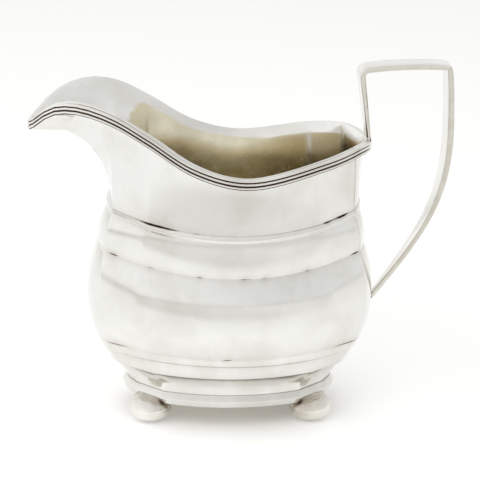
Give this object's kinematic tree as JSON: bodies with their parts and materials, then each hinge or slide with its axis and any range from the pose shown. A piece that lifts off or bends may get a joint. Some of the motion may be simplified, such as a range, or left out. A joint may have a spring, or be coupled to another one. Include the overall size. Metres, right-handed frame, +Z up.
{
  "type": "cream jug",
  "caption": "Oval-octagonal silver cream jug on ball feet, with a belly, two girdles, a wide pouring lip with a reeded rim and an angular strap handle.",
  "frame": {"origin": "centre of the bounding box's bottom, on the surface the jug stands on", "axes": "+Z up, -X towards the pouring lip, +X towards the handle, Y across the jug"},
  "size_m": [0.1362, 0.0712, 0.1169],
  "materials": {
    "silver_body": "polished sterling silver, softly worn by hand polishing, with light scratches",
    "silver_trim": "polished sterling silver with dark tarnish in the reeds",
    "silver_feet": "polished sterling silver, tarnished round the soldered seat, scuffed underneath",
    "silver_plate_inside": "sterling silver, duller and slightly yellow from tarnish"
  },
  "bodies": {
    "root": {"base_plate": "silver_plate_inside", "base_ring": "silver_body", "belly_shell": "silver_body", "foot_lower_back_handle": "silver_feet", "foot_lower_back_lip": "silver_feet", "foot_lower_front_handle": "silver_feet", "foot_lower_front_lip": "silver_feet", "foot_upper_back_handle": "silver_feet", "foot_upper_back_lip": "silver_feet", "foot_upper_front_handle": "silver_feet", "foot_upper_front_lip": "silver_feet", "handle_bar": "silver_trim", "handle_leg": "silver_trim", "neck_shell": "silver_body", "rim_wire_back": "silver_trim", "rim_wire_front": "silver_trim", "socle_shell": "silver_body"}
  },
  "joints": []
}
